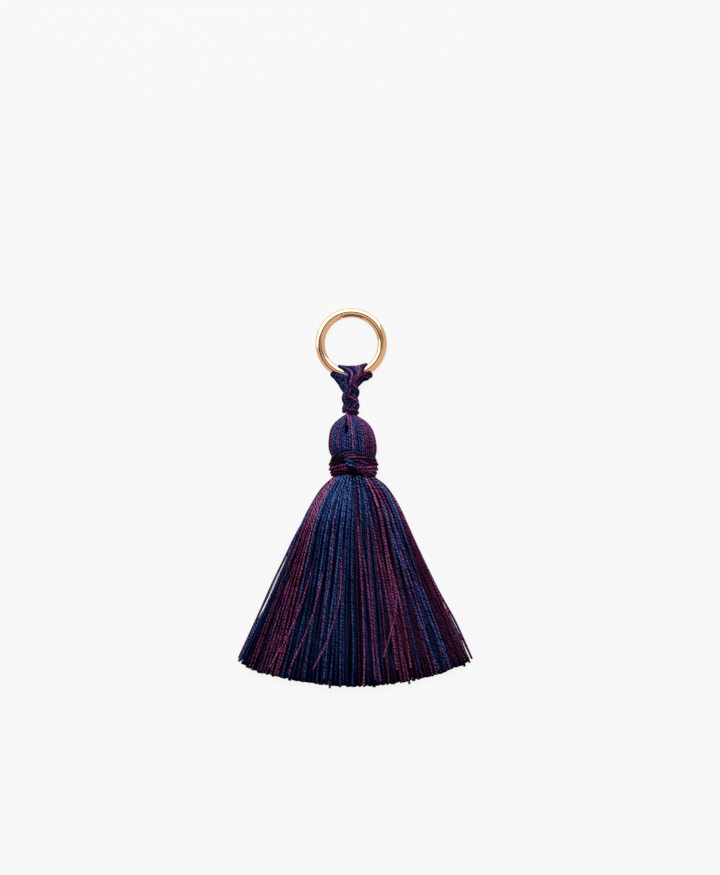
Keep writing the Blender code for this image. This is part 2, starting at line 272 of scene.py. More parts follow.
def yarn_finish(name, groove_shade, relief):
    """Mercerised cotton: each ply has its own dye, with painted shade in its grooves, painted highlights
    where it is brightest, and fine fibres along it.
    """
    finish = new_finish(name)
    dye = finish.attribute("dye")
    tone_and_shade = finish.attribute("tone_and_shade")
    place = finish.node("ShaderNodeUVMap", {"uv_map": "ply"}, {}).outputs[0]
    parts = finish.node("ShaderNodeSeparateXYZ", {}, {0: place})
    around = Tint(finish, parts.outputs[0])
    along = Tint(finish, parts.outputs[1])
    slip = finish.noise_along(0.0, along * SLIP_PER_MM, dye * 5, 1.0)
    fibres = finish.noise_along(around * FIBRES_PER_TURN, along * FIBRES_PER_MM, 0.0, 3.0)
    patches = finish.noise_along(0.0, along * PATCHES_PER_MM, dye * 7, 2.0)
    fading = finish.noise_along(around * FADING_PER_TURN, along * FADING_PER_MM, dye * 3, 2.0)
    turn = (around + slip * SLIP_TURNS) * FULL_TURN
    second_ply = (finish.cosine(turn) * PLY_SHARPNESS + 0.5).held()
    crest = finish.cosine(turn * 2) * 0.5 + 0.5
    plum = (dye * 2 - second_ply).held()
    unevenness = fibres * FIBRE_CONTRAST + patches * PATCH_CONTRAST
    # How lit the thread is painted: painted shade in its grooves, real fibres and patches, times the
    # brightness attribute with its painted light and shade.
    light = (crest * groove_shade + unevenness - 0.5 * groove_shade - LIGHT_OFFSET) * tone_and_shade * LIGHT_GAIN
    blue_light = finish.blend((fading * 5 - 2).held(), DEEP_BLUE, SOFT_BLUE)
    # Each dye's colour runs from its painted-shade colour to its painted-light colour.
    blue = finish.blend(light.held(), BLUE_SHADE, blue_light)
    burgundy = finish.blend(light.held(), PLUM_SHADE, PLUM_LIGHT)
    dyed_and_shaded = finish.blend(plum, blue, burgundy)
    # Painted highlight colour, blended in where the thread is painted brightest.
    painted_highlight = finish.blend(plum, BLUE_PAINTED_HIGHLIGHT, PLUM_PAINTED_HIGHLIGHT)
    painted_highlight_share = (light * HIGHLIGHT_GAIN - HIGHLIGHT_START).held(0.0, HIGHLIGHT_LIMIT)
    roughness = YARN_ROUGHNESS - fibres * FIBRE_GLOSS + (1 - crest) * GROOVE_ROUGHNESS
    height = crest * 0.6 + fibres * 0.5
    finish.fill(
        finish.shader,
        {
            "Base Color": finish.blend(painted_highlight_share, dyed_and_shaded, painted_highlight),
            "Roughness": roughness.held(),
            "Specular IOR Level": YARN_SPECULAR,
            "Normal": finish.relief(height, relief * MM),
        },
    )
    return finish.owner


def core_finish():
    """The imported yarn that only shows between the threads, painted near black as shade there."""
    finish = new_finish("packed_yarn_painted_shade")
    place = finish.node("ShaderNodeTexCoord", {}, {}).outputs["Object"]
    fibres = finish.noise(place, 900.0, 3.0)
    colour = finish.blend(fibres, CORE_SHADE, BLUE_SHADE)
    finish.fill(
        finish.shader,
        {
            "Base Color": colour,
            "Roughness": (0.9 - fibres * 0.2).held(),
            "Specular IOR Level": 0.0,
            "Normal": finish.relief(fibres, 0.1 * MM),
        },
    )
    return finish.owner


def gold_finish():
    """Polished plated wire with hairline scratches and a few duller touches."""
    finish = new_finish("polished_rose_gold")
    place = finish.node("ShaderNodeTexCoord", {}, {}).outputs["Object"]
    smears = finish.noise(place, 180.0, 3.0)
    grain = finish.noise(place, 2600.0, 2.0)
    finish.fill(
        finish.shader,
        {
            "Base Color": finish.blend(smears, ROSE_GOLD, WARM_GOLD),
            "Metallic": 1.0,
            "Roughness": (0.03 + smears * 0.05 + grain * 0.02).held(),
            "Normal": finish.relief(grain, 0.01 * MM, 0.15),
        },
    )
    return finish.owner


def glowing_finish(name, base, colour, glow):
    """A dull surface that gives off an even light of its own."""
    finish = new_finish(name)
    finish.fill(
        finish.shader,
        {
            "Base Color": base,
            "Roughness": 0.9,
            "Specular IOR Level": 0.0,
            "Emission Color": colour,
            "Emission Strength": glow,
        },
    )
    return finish.owner


def add_object(name, data):
    """A new object of this mesh, light or camera, in the scene."""
    made = bpy.data.objects.new(name, data)
    bpy.context.scene.collection.objects.link(made)
    return made


def add_mesh(name, places, faces, material, smooth=True):
    """A mesh object of this material, from places in millimetres."""
    mesh = bpy.data.meshes.new(name)
    mesh.from_pydata((np.asarray(places) * MM).tolist(), [], faces)
    mesh.materials.append(material)
    if smooth:
        mesh.shade_smooth()
    return add_object(name, mesh)


def grid_faces(rows, columns, closed_rows=False, closed_columns=False):
    """The faces of a grid of points that are numbered row by row."""
    row = np.arange(rows if closed_rows else rows - 1)[:, None]
    column = np.arange(columns if closed_columns else columns - 1)[None, :]
    here = row * columns
    next_row = (row + 1) % rows * columns
    next_column = (column + 1) % columns
    corners = [here + column, here + next_column, next_row + next_column, next_row + column]
    return np.stack(corners, axis=-1).reshape(-1, 4).tolist()


# Paths


def through(rows, closed=False, fine=16):
    """A dense smooth curve (Catmull-Rom) through rows of numbers."""
    rows = np.asarray(rows, float)
    if closed:
        padded = np.vstack([rows[-1:], rows, rows[:2]])
    else:
        padded = np.vstack([2 * rows[0] - rows[1], rows, 2 * rows[-1] - rows[-2]])
    share = np.arange(fine)[:, None] / fine
    pieces = []
    for before, start, end, after in zip(padded, padded[1:], padded[2:], padded[3:]):
        bend = 2 * before - 5 * start + 4 * end - after
        rest = 3 * start - before - 3 * end + after
        pieces.append(start + share * (end - before) / 2 + share**2 * bend / 2 + share**3 * rest / 2)
    if not closed:
        pieces.append(rows[-1:])
    return np.vstack(pieces)


def lengths(path):
    """How far along its path each point lies; only the first three columns are the place."""
    steps = np.linalg.norm(np.diff(path[:, :3], axis=0), axis=1)
    return np.concatenate([[0.0], np.cumsum(steps)])


def evenly(path, spacing, closed=False):
    """The path's rows again at an even spacing."""
    if closed:
        path = np.vstack([path, path[:1]])
    along = lengths(path)
    count = max(int(round(along[-1] / spacing)), 3)
    at = np.linspace(0.0, along[-1], count, endpoint=not closed)
    return np.stack([np.interp(at, along, column) for column in path.T], axis=1)


def unit(rows):
    """Each row scaled to length one."""
    return rows / np.maximum(np.linalg.norm(rows, axis=-1, keepdims=True), 1e-9)


def frames(path, closed=False):
    """Side and up directions along a path, turning with it as little as they can."""
    if closed:
        along = unit(np.roll(path, -1, axis=0) - np.roll(path, 1, axis=0))
    else:
        along = unit(np.gradient(path, axis=0))
    start = np.cross(along[0], UPWARD)
    if np.linalg.norm(start) < 0.2:
        start = np.cross(along[0], (1.0, 0.0, 0.0))
    side = np.empty_like(path)
    held = start / np.linalg.norm(start)
    for index, direction in enumerate(along):
        held = held - direction * held.dot(direction)
        held = held / math.sqrt(held.dot(held))
        side[index] = held
    up = np.cross(side, along)
    if closed:
        last = held - along[0] * held.dot(along[0])
        slip = math.atan2(last.dot(up[0]), last.dot(side[0]))
        undo = -slip * np.arange(len(path))[:, None] / len(path)
        side, up = side * np.cos(undo) + up * np.sin(undo), up * np.cos(undo) - side * np.sin(undo)
    return side, up


# Threads


class Skein:
    """Threads gathered into one mesh; each is a tube whose map winds round it as its two plies do."""

    def __init__(self):
        self.places = []
        self.faces = []
        self.maps = []
        self.dyes = []
        self.shaded_tones = []
        self.count = 0
        self.threads = 0

    def lay(self, path, radii, dye, tone_and_shade, sides=6, closed=False, phase=0.0, outward=None):
        """Adds one thread along an evenly spaced path; sides turned from outward get painted crevice shade.
        """
        rows = len(path)
        side, up = frames(path, closed)
        along = lengths(path)
        pitch = TWIST_PITCH
        if closed:
            whole = along[-1] * rows / (rows - 1)
            pitch = whole / max(round(whole / TWIST_PITCH), 1)
        angle = np.arange(sides)[None, :] / sides * FULL_TURN
        reach = np.broadcast_to(radii, (rows,))[:, None]
        ring = side[:, None, :] * (reach * np.cos(angle))[..., None]
        ring = ring + up[:, None, :] * (reach * np.sin(angle))[..., None]
        self.places.append((path[:, None, :] + ring).reshape(-1, 3))
        self.dyes.append(np.repeat(np.broadcast_to(dye, (rows,)), sides))
        # Each point's brightness: random differences together with painted light and shade.
        shaded_tones = np.repeat(np.broadcast_to(tone_and_shade, (rows,)), sides)
        # Painted crevice shade on the sides that face away from outward.
        if outward is not None:
            facing = (unit(ring) * np.asarray(outward, float).reshape(-1, 1, 3)).sum(axis=-1)
            shaded_tones = shaded_tones * np.clip(1 - CREVICE_SHADE_FALL * (1 - facing), CREVICE_PAINTED_SHADE, 1.0).reshape(-1)
        self.shaded_tones.append(shaded_tones)
        self.join_rings(rows, sides, closed, along, pitch, phase)
        self.count += rows * sides
        self.threads += 1
        if not closed:
            self.cap(path[0], rows, sides, 0)
            self.cap(path[-1], rows, sides, rows - 1)

    def join_rings(self, rows, sides, closed, along, pitch, phase):
        ring = np.arange(rows if closed else rows - 1)[:, None] + np.zeros((1, sides), int)
        column = np.arange(sides)[None, :] + np.zeros_like(ring)
        step = along[1] - along[0]
        corners = []
        places = []
        for next_ring, next_column in ((0, 0), (0, 1), (1, 1), (1, 0)):
            corners.append((ring + next_ring) % rows * sides + (column + next_column) % sides)
            reach = along[ring] + next_ring * step
            wound = (column + next_column) / sides - reach / pitch + phase
            places.append(np.stack([wound, reach + THREAD_APART * self.threads], axis=-1))
        self.faces += (np.stack(corners, axis=-1).reshape(-1, 4) + self.count).tolist()
        self.maps.append(np.stack(places, axis=-2).reshape(-1, 2))

    def cap(self, centre, rows, sides, ring):
        """Closes one end with a fan of triangles."""
        first = self.count - rows * sides + ring * sides
        self.places.append(np.asarray(centre, float)[None, :])
        self.dyes.append(self.dyes[-1 if ring == 0 else -2][:1] * 1.0)
        self.shaded_tones.append(np.array([CUT_END_TONE]))
        for column in range(sides):
            after = (column + 1) % sides
            pair = (first + column, first + after) if ring else (first + after, first + column)
            self.faces.append([*pair, self.count])
            self.maps.append(np.full((3, 2), 0.1))
        self.count += 1

    def weave(self, name, material):
        """The mesh object of all the threads."""
        places = np.vstack(self.places)
        places[:, 2] = np.maximum(places[:, 2], 0.0)
        made = add_mesh(name, places, self.faces, material)
        ply_map = made.data.uv_layers.new(name="ply")
        ply_map.data.foreach_set("uv", np.vstack(self.maps).astype(np.float32).ravel())
        for label, values in (("dye", self.dyes), ("tone_and_shade", self.shaded_tones)):
            layer = made.data.attributes.new(label, "FLOAT", "POINT")
            layer.data.foreach_set("value", np.concatenate(values).astype(np.float32))
        return made


# By the number of threads in a bundle: their radius and distance from its middle, as shares of its radius.
BUNDLE_PACKING = {2: (0.5, 0.5), 3: (0.464, 0.536), 4: (0.414, 0.586), 5: (0.37, 0.63), 6: (0.333, 0.667)}
# The heart of each bundle: its share of the bundle's radius, its dye, and a near-black brightness that paints
# shade between the threads.
HEART_SHARE = 0.62
HEART_DYE = 0.5
HEART_PAINTED_SHADE = 0.05
# Threads in a bundle press into each other a little, and no two are equally bright.
BUNDLE_SNUGNESS = 1.06
BUNDLE_TONES = (0.4, 2.6)


def lay_bundle(skein, rows, dyes, rng, turns, tone_and_shade, count, spacing=FINE_STEP, closed=False, start=0.0):
    """Lays threads side by side round a heart painted near black as shade, along rows of (x, y, z, bundle
    radius).

    The brightness is one number or pairs of (x, brightness), and carries painted light and shade.
    """
    path = evenly(through(rows, closed), spacing, closed)
    centre, radius = path[:, :3], path[:, 3]
    side, up = frames(centre, closed)
    share, apart = BUNDLE_PACKING[count]
    bright = np.interp(centre[:, 0], *np.array(tone_and_shade).T) if np.ndim(tone_and_shade) else tone_and_shade
    travel = lengths(centre)
    travel = travel / (travel[-1] * len(path) / (len(path) - 1) if closed else travel[-1])
    skein.lay(centre, radius * HEART_SHARE, HEART_DYE, HEART_PAINTED_SHADE, closed=closed)
    for index in range(count):
        angle = FULL_TURN * (index / count + turns * travel) + start
        offset = side * (radius * apart * np.cos(angle))[:, None]
        offset = offset + up * (radius * apart * np.sin(angle))[:, None]
        thread_tone_and_shade = bright * rng.uniform(*BUNDLE_TONES)
        thread_radius = radius * share * BUNDLE_SNUGNESS
        dye = dyes[index % len(dyes)]
        phase = rng.random()
        # Painted crevice shade on the side of each thread that faces the bundle's heart.
        outward = unit(offset)
        skein.lay(centre + offset, thread_radius, dye, thread_tone_and_shade, SHOWN_SIDES, closed, phase, outward)


# Pieces


def make_ring(material):
    """Round wire bent to a ring, its two ends butted in a fine seam."""
    around_steps = 240
    wire_steps = 36
    seam_depth = 0.4
    seam_width = 0.02
    # Rows crowd together at the seam, so that its groove is crisp.
    crowding = 0.985
    turns = FULL_TURN * np.arange(around_steps) / around_steps
    turns = SEAM_TURN + turns - crowding * np.sin(turns)
    wire_turns = FULL_TURN * np.arange(wire_steps) / wire_steps
    from_seam = np.abs(np.remainder(turns - SEAM_TURN + math.pi, FULL_TURN) - math.pi)
    # The butted ends gape on the inner side only.
    gape = np.exp(-((from_seam / seam_width) ** 2))[:, None] * (0.5 - 0.5 * np.cos(wire_turns)) ** 2
    thickness = WIRE_RADIUS - seam_depth * gape
    out = RING_RADIUS + thickness * np.cos(wire_turns)
    x = out * np.cos(turns)[:, None]
    y = out * np.sin(turns)[:, None]
    z = thickness * np.sin(wire_turns)
    tilted_y = y * math.cos(RING_TILT) + z * math.sin(RING_TILT)
    tilted_z = z * math.cos(RING_TILT) - y * math.sin(RING_TILT)
    places = np.stack([x + RING_X, tilted_y + RING_Y, tilted_z + RING_Z], axis=-1)
    # Each face is turned over, to look out of the wire.
    faces = [[a, d, c, b] for a, b, c, d in grid_faces(around_steps, wire_steps, True, True)]
    return add_mesh("ring_wire", places.reshape(-1, 3), faces, material)


def round_wire(turn_deg, around_deg, bundle):
    """A row on the wire's surface: around 0 faces outward, 90 up, 180 into the ring and 270 down."""
    turn = math.radians(turn_deg)
    near = math.cos(turn)
    outward = np.array([math.sin(turn), -near * math.cos(RING_TILT), near * math.sin(RING_TILT)])
    around = math.radians(around_deg)
    away = outward * math.cos(around) + np.array([0, 0, 1]) * math.sin(around)
    centre = np.array([RING_X, RING_Y, RING_Z]) + outward * RING_RADIUS
    return [*(centre + away * (WIRE_RADIUS + WIRE_CLEARANCE + bundle)), bundle]


def fan_routes():
    """Bundles that cross over the wire, spread inside the ring and return under it, from left to right."""
    routes = []
    count = 12
    for number in range(count):
        share = number / (count - 1)
        inside = -28 + 64 * share
        over = -4 + 22 * share
        middle = 1 - abs(2 * share - 1)
        thin = 0.42 + 0.36 * middle**0.5
        stack = 0.35 * (number % 2)
        above = round_wire(over, 95, 0.72 + stack)[:3] + [0.72]
        before = round_wire(over * 0.7 - 2, 62, 0.75 + stack)[:3] + [0.75]
        rows = [
            [-3.6 + 3.6 * share, 38.4, 3.2, 0.7],
            round_wire(inside * 0.7, 325, 0.6),
            round_wire(inside, 290, thin),
            round_wire(inside, 250, thin),
            round_wire(inside, 212, thin),
            round_wire(inside, 176, thin),
            round_wire(inside * 0.65 + over * 0.35, 152, thin),
            round_wire(inside * 0.3 + over * 0.7, 126, 0.66),
            above,
            before,
            [-3.0 + 2.6 * share, 40.2, 5.2, 0.75],
            [-2.4 + 1.8 * share, 38.2, 4.6, 0.7],
        ]
        routes.append(rows)
    return routes


FAN_DYES = (
    (0.1, 0.2, 0.05),
    (0.0, 0.1, 0.0),
    (0.9, 0.0, 0.9),
    (0.9, 0.8, 0.9),
    (0.0, 0.1, 0.0),
    (0.1, 0.0, 0.1),
    (0.95, 0.9, 0.9),
    (0.0, 0.1, 0.05),
    (0.95, 0.9, 0.95),
    (0.9, 0.85, 0.9),
    (0.1, 0.0, 0.9),
    (0.9, 0.95, 0.9),
)


def shoulder_routes():
    """Bundles that lap the outer half of the wire on either side and run down into the plait."""
    left = []
    for turn, depth, radius in ((-27, 0.0, 0.8), (-21, 0.3, 0.85), (-11, 0.8, 0.85)):
        rows = [
            [-0.9, 40.2 - depth, 5.0, radius],
            round_wire(turn * 0.35 + 2, 60, radius),
            round_wire(turn * 0.7, 64, radius * 0.9),
            round_wire(turn - 4, 58, radius * 0.8),
            round_wire(turn - 4, 28, radius * 0.8),
            round_wire(turn + 3, 4, radius * 0.9),
            [turn * 0.17 - 0.9, 40.2 - depth, 4.2, radius],
            [turn * 0.08 - 1.9, 38.0 - depth, 4.2, radius],
            [-2.6, 35.8, 4.4, radius * 0.8],
        ]
        left.append(rows)
    right = []
    for turn, depth, radius in ((30, 0.0, 0.85), (24, 0.3, 1.0), (13, 0.8, 0.85)):
        rows = [
            [-1.6, 39.8 - depth, 5.4, radius],
            round_wire(turn * 0.3, 66, radius),
            round_wire(turn * 0.65, 76, radius),
            round_wire(turn, 62, radius * 0.85),
            round_wire(turn + 2, 20, radius * 0.8),
            round_wire(turn - 3, 345, radius * 0.85),
            [turn * 0.05 - 0.3, 41.0 - depth, 3.6, radius],
            [-0.1, 38.6 - depth, 3.9, radius],
            [-0.3, 35.8, 4.2, radius * 0.8],
        ]
        right.append(rows)
    return left, right


LEFT_DYES = ((0.0, 0.9, 0.1, 0.5), (0.1, 0.5, 0.9, 0.0), (0.0, 0.1, 0.5, 0.9))
RIGHT_DYES = ((0.95, 0.8, 1.0, 0.9), (0.9, 0.95, 0.1, 0.9), (0.1, 0.5, 0.0, 0.9))
# Packed yarn under the shoulders, from left to right.
HITCH_HEART = (
    (-5.4, 42.2, 3.9, 0.7),
    (-3.4, 41.0, 4.0, 1.3),
    (-1.5, 40.4, 4.0, 1.7),
    (0.6, 40.9, 3.9, 1.4),
    (2.6, 42.4, 3.7, 0.8),
)
PLAIT_DYES = ((0.05, 0.9, 0.1, 0.45, 0.95), (0.9, 0.3, 0.05, 0.8, 0.1), (0.1, 0.0, 0.85, 0.5, 0.9))
# Each knot loop: half width, tilt, shift along the plait and its dyes.
KNOT_LOOPS = (
    (2.15, KNOT_TILT, 0.45, (0.05, 0.1, 0.9, 0.2)),
    (1.95, -KNOT_TILT, -0.45, (0.9, 0.85, 0.1, 0.9)),
)
# Packed yarn inside the plait, painted near black as shade.
PLAIT_FILL = ((-1.5, 41.0, 4.0), (-1.5, 38.5, 4.2), (-1.4, 35.0, 5.0), (-1.4, 32.0, 5.8))
# Packed yarn between the knot loops, down into the head, painted near black as shade.
KNOT_FILL = ((-1.4, 33.0, 5.6), (-1.4, 31.0, 6.2), (-1.5, 29.2, 6.3), (-1.6, 27.4, 6.5))
# The hanger's end that is tucked into the head.
TUCKED_END = (
    (-2.5, 30.3, 6.9, 0.5),
    (-2.6, 29.3, 8.9, 0.6),
    (-2.6, 28.0, 11.3, 0.75),
    (-2.65, 26.8, 12.6, 0.85),
    (-2.9, 25.8, 12.9, 0.75),
    (-3.1, 25.0, 12.0, 0.6),
    (-3.1, 24.6, 10.6, 0.5),
)


def make_hanger(material, rng):
    """The plait, the yarn hitched over the wire and the knot above the head."""
    skein = Skein()
    for strand, dyes in enumerate(PLAIT_DYES):
        rows = []
        for share in np.linspace(0.0, 1.0, 25):
            y = PLAIT_TOP[0] + (PLAIT_BOTTOM[0] - PLAIT_TOP[0]) * share
            z = PLAIT_TOP[1] + (PLAIT_BOTTOM[1] - PLAIT_TOP[1]) * share
            turn = FULL_TURN * ((PLAIT_TOP[0] - y) / PLAIT_PITCH + strand / 3)
            x = PLAIT_X + PLAIT_SWAY * math.sin(turn)
            rows.append([x, y, z + PLAIT_RISE * math.sin(2 * turn), PLAIT_BUNDLE])
        lay_bundle(skein, rows, dyes, rng, turns=0.8, tone_and_shade=0.55, count=5, spacing=COARSE_STEP)
    lay_bundle(skein, HITCH_HEART, (0.0, 0.9), rng, turns=0.5, tone_and_shade=0.6, count=6, spacing=COARSE_STEP)
    skein.lay(evenly(through(PLAIT_FILL), COARSE_STEP)[:, :3], 1.5, HEART_DYE, HEART_PAINTED_SHADE, 10)
    left, right = shoulder_routes()
    for rows, dyes in zip(left + right, LEFT_DYES + RIGHT_DYES):
        lay_bundle(skein, rows, dyes, rng, turns=0.9, tone_and_shade=0.75, count=4)
    for rows, dyes in zip(fan_routes(), FAN_DYES):
        lay_bundle(skein, rows, dyes, rng, turns=0.9, tone_and_shade=0.9, count=3)
    for width, tilt, shift, dyes in KNOT_LOOPS:
        rows = []
        for turn in np.linspace(0.0, FULL_TURN, 16, endpoint=False):
            across = width * math.cos(turn)
            lift = KNOT_DEPTH * math.sin(turn)
            along = across * math.tan(tilt) + shift
            x, y, z = KNOT_CENTRE
            rows.append([x + across, y + along, z + lift, KNOT_BUNDLE])
        lay_bundle(skein, rows, dyes, rng, turns=1.0, tone_and_shade=0.6, count=4, closed=True)
    skein.lay(evenly(through(KNOT_FILL), COARSE_STEP)[:, :3], 1.7, HEART_DYE, HEART_PAINTED_SHADE, 10)
    lay_bundle(skein, TUCKED_END, (0.95, 1.0), rng, turns=0.6, tone_and_shade=1.9, count=2)
    return skein.weave("hanger_threads", material)


def front_arch(turn, height):
    """How far a wrap rises at this turn round the waist: it arches up at the front."""
    from_front = math.remainder(turn - WRAP_ARCH_TURN, FULL_TURN)
    return height * math.exp(-((from_front / WRAP_ARCH_SPREAD) ** 2))


# Painted light and shade along the four thick wraps across the waist, as pairs of x and brightness: near
# black where shade falls between them.
WRAP_PAINTED_SHADING = (
    (
        *((-7.7, 0.4), (-6.9, 0.08), (-4.0, 0.04), (-2.8, 0.5), (-1.0, 0.7)),
        *((0.5, 0.45), (3.0, 0.35), (5.0, 0.1), (7.3, 0.3)),
    ),
    ((-7.9, 0.6), (-6.6, 0.08), (-3.5, 0.1), (0.0, 0.3), (2.0, 0.6), (5.0, 0.15), (7.3, 0.4)),
    ((-7.9, 0.8), (-5.5, 0.45), (-3.2, 0.7), (-1.0, 0.2), (1.0, 0.6), (3.5, 0.95), (6.0, 0.7), (7.3, 0.6)),
    ((-7.7, 0.5), (-5.5, 0.25), (-3.0, 0.35), (-1.0, 0.04), (1.5, 0.15), (4.0, 0.2), (6.5, 0.4)),
)
# Wraps round the waist: y, arch, half width, half depth, bundle, threads, twist, start, dyes and brightness,
# which for the four thick wraps is painted light and shade.
WRAPS = (
    (13.9, 2.0, 7.3, 6.2, 0.5, 2, 2.0, 1.3, (0.05, 0.1), 2.0),
    (13.0, 1.5, 7.3, 6.0, 0.9, 4, 2.0, 2.0, (0.9, 0.95, 0.9, 0.95), WRAP_PAINTED_SHADING[0]),
    (11.7, 0.8, 7.65, 5.9, 1.1, 4, -2.0, 0.3, (0.95, 0.85, 0.9, 0.1), WRAP_PAINTED_SHADING[1]),
    (10.1, 0.8, 7.6, 6.0, 1.15, 4, 1.0, 0.4, (0.95, 0.9, 0.85, 0.95), WRAP_PAINTED_SHADING[2]),
    (8.4, 1.5, 7.2, 5.5, 1.1, 4, -2.0, 1.2, (0.95, 0.9, 0.95, 0.9), WRAP_PAINTED_SHADING[3]),
)
# The knot that draws the wraps together: its ends' rows, dyes and brightness; the first is made bright with
# painted light, and the last, nearly black, is a painted shadow under the knot.
WAIST_KNOTS = (
    (
        (
            (-3.2, 13.6, 12.4, 0.6),
            (-2.7, 13.1, 13.9, 0.9),
            (-1.9, 12.4, 14.7, 1.15),
            (-1.1, 11.7, 14.7, 1.0),
            (-0.5, 11.35, 14.2, 0.7),
            (0.1, 11.1, 13.4, 0.4),
        ),
        (0.0, 0.05, 0.1),
        2.6,
    ),
    (
        (
            (-0.9, 11.7, 14.0, 0.45),
            (0.3, 11.4, 14.2, 0.55),
            (1.7, 11.3, 13.8, 0.5),
            (3.0, 11.6, 12.8, 0.4),
        ),
        (0.5, 0.1, 0.35),
        0.75,
    ),
    (
        (
            (-2.6, 12.0, 13.0, 0.9),
            (-1.8, 11.0, 14.1, 1.3),
            (-0.9, 10.1, 14.2, 1.4),
            (-0.3, 9.4, 13.4, 1.2),
            (0.0, 8.6, 12.0, 0.8),
        ),
        (0.3, 0.5, 0.3),
        0.03,
    ),
)


def make_binding(material, rng):
    """Bulky wraps round the waist and the knot that draws them together."""
    skein = Skein()
    for centre_y, arch, half_width, half_depth, bundle, count, turns, start, dyes, tone_and_shade in WRAPS:
        rows = []
        for turn in np.linspace(0.0, FULL_TURN, 48, endpoint=False):
            x = WRAP_X + half_width * math.cos(turn)
            z = WRAP_Z + half_depth * math.sin(turn)
            rows.append([x, centre_y + front_arch(turn, arch), z, bundle])
        lay_bundle(skein, rows, dyes, rng, turns, tone_and_shade, count, WRAP_STEP, True, start)
    for rows, dyes, tone_and_shade in WAIST_KNOTS:
        lay_bundle(skein, rows, dyes, rng, turns=0.7, tone_and_shade=tone_and_shade, count=3)
    return skein.weave("binding_threads", material)


# Head: y, centre x, half width, centre z, half depth and the share of the front's arch it follows.
HEAD_SECTIONS = (
    (29.6, -1.5, 1.2, 6.3, 1.1, 0.0),
    (28.7, -1.5, 2.1, 6.3, 2.0, 0.0),
    (27.8, -1.5, 3.5, 6.5, 3.3, 0.0),
    (26.8, -1.3, 5.0, 6.7, 4.7, 0.0),
    (25.4, -1.2, 6.5, 6.8, 5.9, 0.0),
    (23.6, -1.1, 7.6, 7.0, 6.8, 0.0),
    (21.4, -0.9, 8.25, 7.05, 7.45, 0.0),
    (18.4, -0.75, 8.65, 7.1, 7.6, 0.1),
    (15.9, -0.55, 8.45, 7.05, 7.25, 0.5),
    (13.9, -0.3, 7.6, 7.15, 5.9, 1.0),
    (12.4, -0.25, 6.4, 7.15, 4.6, 1.0),
)
HEAD_THREAD_COUNT = 60
HEAD_MIDDLE = (-0.9, 19.5, 7.1)
# How far a head thread strays round the dome, in thread widths, and into it.
HEAD_STRAY = 0.15
HEAD_SINKING = 0.2
# How bright the head's threads turn out at random, the painted shade that darkens them toward the binding and
# the crown's tip with a little painted light between, and the painted shade in the opening where the hanger's
# end dives in.
HEAD_TONES = (0.8, 1.5)
HEAD_SHADE_Y = (13.5, 19.0, 26.0, 29.0)
HEAD_SHADE = (0.35, 0.85, 1.1, 0.8)
TUCK_SHADE = 1.6
# Dye across the front of the head: from this place on, the dye and how bright it is.
HEAD_BANDS = (
    (-2.0, 0.9, 0.75),
    (-0.97, 0.1, 0.8),
    (-0.93, 0.9, 0.9),
    (-0.86, 0.05, 1.2),
    (-0.60, 0.95, 0.8),
    (-0.55, 0.0, 1.25),
    (-0.40, 0.9, 0.95),
    (-0.345, 0.05, 1.2),
    (-0.26, 0.1, 1.1),
    (-0.09, 0.95, 1.35),
    (0.05, 0.05, 1.0),
    (0.11, 0.0, 1.25),
    (0.19, 0.05, 0.7),
    (0.28, 0.05, 1.1),
    (0.42, 0.3, 1.2),
    (0.49, 0.92, 1.1),
    (0.60, 0.4, 1.0),
    (0.70, 0.9, 1.0),
    (0.80, 0.6, 0.95),
    (0.86, 0.95, 0.9),
)
# A small opening in the head, darkened by painted shade, where the hanger's end dives in: place across,
# width, y and depth.
TUCK_PLACE = -0.27
TUCK_WIDTH = 0.11
TUCK_Y = (23.8, 1.6)
TUCK_DEPTH = 2.2


def band_at(bands, place):
    """The band that holds this place."""
    return [band[1:] for band in bands if place >= band[0]][-1]


def head_path(turn, inset):
    """One line down the dome at this turn, this far inside its surface."""
    rows = []
    for y, centre_x, half_width, centre_z, half_depth, lift in HEAD_SECTIONS:
        across = (math.cos(turn) - TUCK_PLACE) / TUCK_WIDTH
        down = (y - TUCK_Y[0]) / TUCK_Y[1]
        dent = TUCK_DEPTH * math.exp(-(across**2) - down**2) * (math.sin(turn) > 0)
        x = centre_x + max(half_width - inset - dent, 0.1) * math.cos(turn)
        z = centre_z + max(half_depth - inset - dent, 0.1) * math.sin(turn)
        rows.append([x, y + front_arch(turn, HEAD_ARCH) * lift, max(z, inset), dent / TUCK_DEPTH])
    return rows


def make_head(material, rng):
    """Threads side by side over the dome, with painted shade where they dip and toward the binding."""
    skein = Skein()
    for index in range(HEAD_THREAD_COUNT):
        turn = FULL_TURN * (index + rng.uniform(-HEAD_STRAY, HEAD_STRAY)) / HEAD_THREAD_COUNT
        inset = THREAD_RADIUS + rng.uniform(0.0, HEAD_SINKING)
        path = evenly(through(head_path(turn, inset)), FINE_STEP)
        dye, tone_and_shade = band_at(HEAD_BANDS, math.cos(turn))
        dye += rng.uniform(0.0, 0.08)
        tone_and_shade *= rng.uniform(*HEAD_TONES)
        shade = np.interp(path[:, 1], HEAD_SHADE_Y, HEAD_SHADE)
        shade = tone_and_shade * shade * np.clip(1 - TUCK_SHADE * path[:, 3], 0.02, 1.0)
        outward = unit(path[:, :3] - HEAD_MIDDLE)
        skein.lay(path[:, :3], HEAD_RADIUS, dye, shade, SHOWN_SIDES, phase=rng.random(), outward=outward)
    return skein.weave("head_threads", material)


